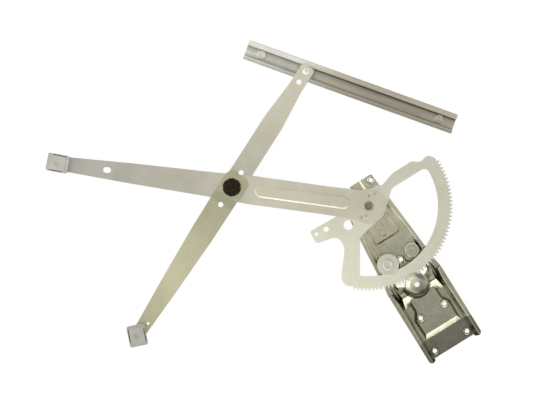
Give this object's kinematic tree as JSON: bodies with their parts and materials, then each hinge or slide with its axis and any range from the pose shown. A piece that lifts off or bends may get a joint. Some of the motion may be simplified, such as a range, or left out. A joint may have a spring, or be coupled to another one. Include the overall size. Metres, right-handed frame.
{
  "type": "window regulator",
  "caption": "Front door window regulator: a sector gear and crossed arms on a pressed base plate, with a guide rail and glass shoes, without its motor.",
  "frame": {"origin": "midway between the two lower door bolt holes, on the back face of the base plate, which lies on the door's inner panel", "axes": "+Z is the base plate's normal, from the door's inner panel towards the glass; +Y runs up the base plate to the main pivot; +X completes a right-handed frame"},
  "size_m": [0.5718, 0.5447, 0.0391],
  "materials": {
    "plate_zinc": "galvanised, bright satin",
    "arm_zinc": "pale zinc plate, satin",
    "rail_zinc": "galvanised, bright satin",
    "pin_zinc": "zinc plate, satin",
    "stud_zinc": "zinc plate, satin",
    "disc_plastic": "moulded, satin",
    "bush_plastic": "moulded, matte",
    "cap_plastic": "moulded, satin black",
    "shoe_plastic": "moulded acetal, satin"
  },
  "bodies": {
    "base": {"base_plate": "plate_zinc", "main_pivot_pin": "pin_zinc", "main_pivot_washer": "pin_zinc", "guide_disc_pin": "pin_zinc", "travel_stop": "pin_zinc"},
    "main_arm_body": {"sector_gear": "arm_zinc", "main_arm": "arm_zinc", "sector_rivets": "pin_zinc", "main_shoe_stud": "pin_zinc", "cross_pivot_bush": "bush_plastic"},
    "counter_arm_body": {"counter_arm_rear": "arm_zinc", "counter_arm_front": "arm_zinc", "cross_pivot_pin": "pin_zinc", "cross_pivot_cap": "cap_plastic", "rail_pin": "pin_zinc", "counter_shoe_stud": "pin_zinc"},
    "slider_body": {"rail_slider": "shoe_plastic"},
    "rail_body": {"guide_rail": "rail_zinc", "rail_stud_near": "stud_zinc", "rail_stud_far": "stud_zinc"},
    "main_shoe_body": {"main_shoe": "shoe_plastic"},
    "counter_shoe_body": {"counter_shoe": "shoe_plastic"},
    "guide_disc_body": {"guide_disc": "disc_plastic"}
  },
  "joints": [
    {"name": "sector_swing", "type": "hinge", "parent": "base", "child": "main_arm_body", "pos_m": [0, 0.2285, 0.02], "axis": [0, 0, 1], "range_deg": [-70, 10]},
    {"name": "scissor", "type": "hinge", "parent": "main_arm_body", "child": "counter_arm_body", "pos_m": [-0.15157, 0.35434, 0.02], "axis": [0, 0, 1], "range_deg": [-20, 140]},
    {"name": "rail_swivel", "type": "hinge", "parent": "counter_arm_body", "child": "slider_body", "pos_m": [0.02594, 0.43977, 0.02], "axis": [0, 0, 1], "range_deg": [-12, 160]},
    {"name": "rail_slide", "type": "slide", "parent": "slider_body", "child": "rail_body", "axis": [0.6211, -0.7837, 0], "range_m": [-0.186, 0.048]},
    {"name": "main_shoe_swivel", "type": "hinge", "parent": "main_arm_body", "child": "main_shoe_body", "pos_m": [-0.34392, 0.51403, 0.02], "axis": [0, 0, 1], "continuous": true},
    {"name": "counter_shoe_swivel", "type": "hinge", "parent": "counter_arm_body", "child": "counter_shoe_body", "pos_m": [-0.37684, 0.24592, 0.02], "axis": [0, 0, 1], "continuous": true},
    {"name": "guide_disc_spin", "type": "hinge", "parent": "base", "child": "guide_disc_body", "pos_m": [-0.02001, 0.1425, 0.02], "axis": [0, 0, 1], "continuous": true}
  ],
  "couplings": [
    {"joint": "scissor", "follows": "sector_swing", "ratio": -2},
    {"joint": "rail_slide", "follows": "sector_swing", "m_per_rad": 0.15}
  ]
}
